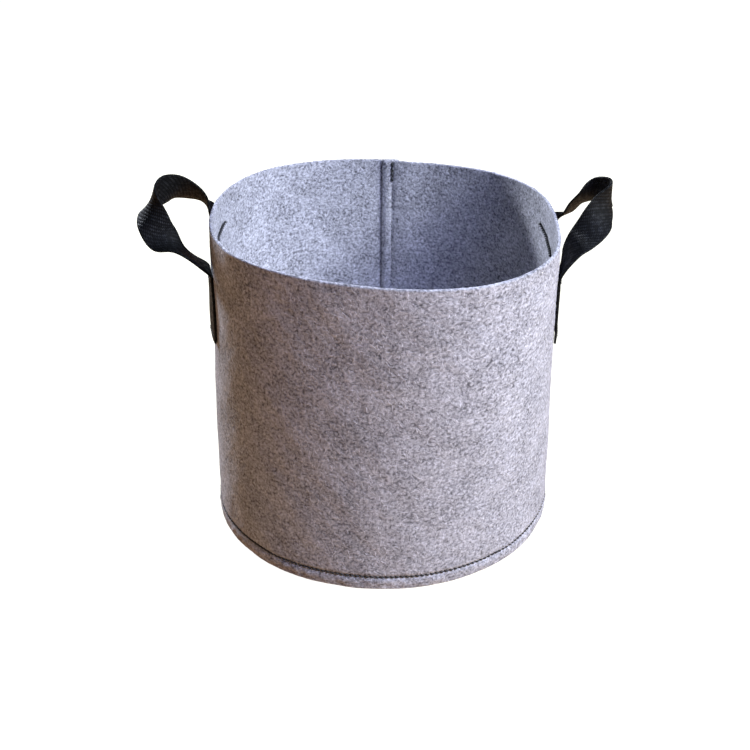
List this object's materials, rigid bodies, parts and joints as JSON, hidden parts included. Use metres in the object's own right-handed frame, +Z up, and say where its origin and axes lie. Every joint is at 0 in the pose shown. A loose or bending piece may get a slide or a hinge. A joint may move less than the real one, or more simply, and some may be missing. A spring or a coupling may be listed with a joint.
{
  "type": "fabric grow bag",
  "caption": "Round felt plant bag with a lapped back seam, a sewn-in felt base and black webbing handles at its sides.",
  "frame": {"origin": "centre of the base's underside, on the ground", "axes": "+Z up, +Y towards the lapped back seam, handles at -X and +X"},
  "size_m": [0.3853, 0.3047, 0.297],
  "materials": {
    "felt": "matt needle-punched felt, mottled heather grey",
    "webbing": "matt black woven webbing with fine cross ribs",
    "thread": "black polyester sewing thread"
  },
  "bodies": {
    "bag": {"side_wall": "felt", "base_disc": "felt", "base_seam_needle_thread": "thread", "base_seam_bobbin_thread": "thread", "back_seam_needle_thread": "thread", "back_seam_bobbin_thread": "thread", "left_handle_front_leg": "webbing", "left_handle_front_upper_needle_thread": "thread", "left_handle_front_upper_bobbin_thread": "thread", "left_handle_front_lower_needle_thread": "thread", "left_handle_front_lower_bobbin_thread": "thread", "left_handle_back_leg": "webbing", "left_handle_back_upper_needle_thread": "thread", "left_handle_back_upper_bobbin_thread": "thread", "left_handle_back_lower_needle_thread": "thread", "left_handle_back_lower_bobbin_thread": "thread", "right_handle_front_leg": "webbing", "right_handle_front_upper_needle_thread": "thread", "right_handle_front_upper_bobbin_thread": "thread", "right_handle_front_lower_needle_thread": "thread", "right_handle_front_lower_bobbin_thread": "thread", "right_handle_back_leg": "webbing", "right_handle_back_upper_needle_thread": "thread", "right_handle_back_upper_bobbin_thread": "thread", "right_handle_back_lower_needle_thread": "thread", "right_handle_back_lower_bobbin_thread": "thread"},
    "left_handle": {"left_handle_loop": "webbing"},
    "right_handle": {"right_handle_loop": "webbing"}
  },
  "joints": [
    {"name": "left_handle_swing", "type": "hinge", "parent": "bag", "child": "left_handle", "pos_m": [-0.14377, 0.00084, 0.24375], "axis": [0.057, -0.9555, -0.2896], "range_deg": [-10, 45]},
    {"name": "right_handle_swing", "type": "hinge", "parent": "bag", "child": "right_handle", "pos_m": [0.14559, 0.00063, 0.23875], "axis": [-0.0008, 0.976, 0.2178], "range_deg": [-5, 75]}
  ]
}
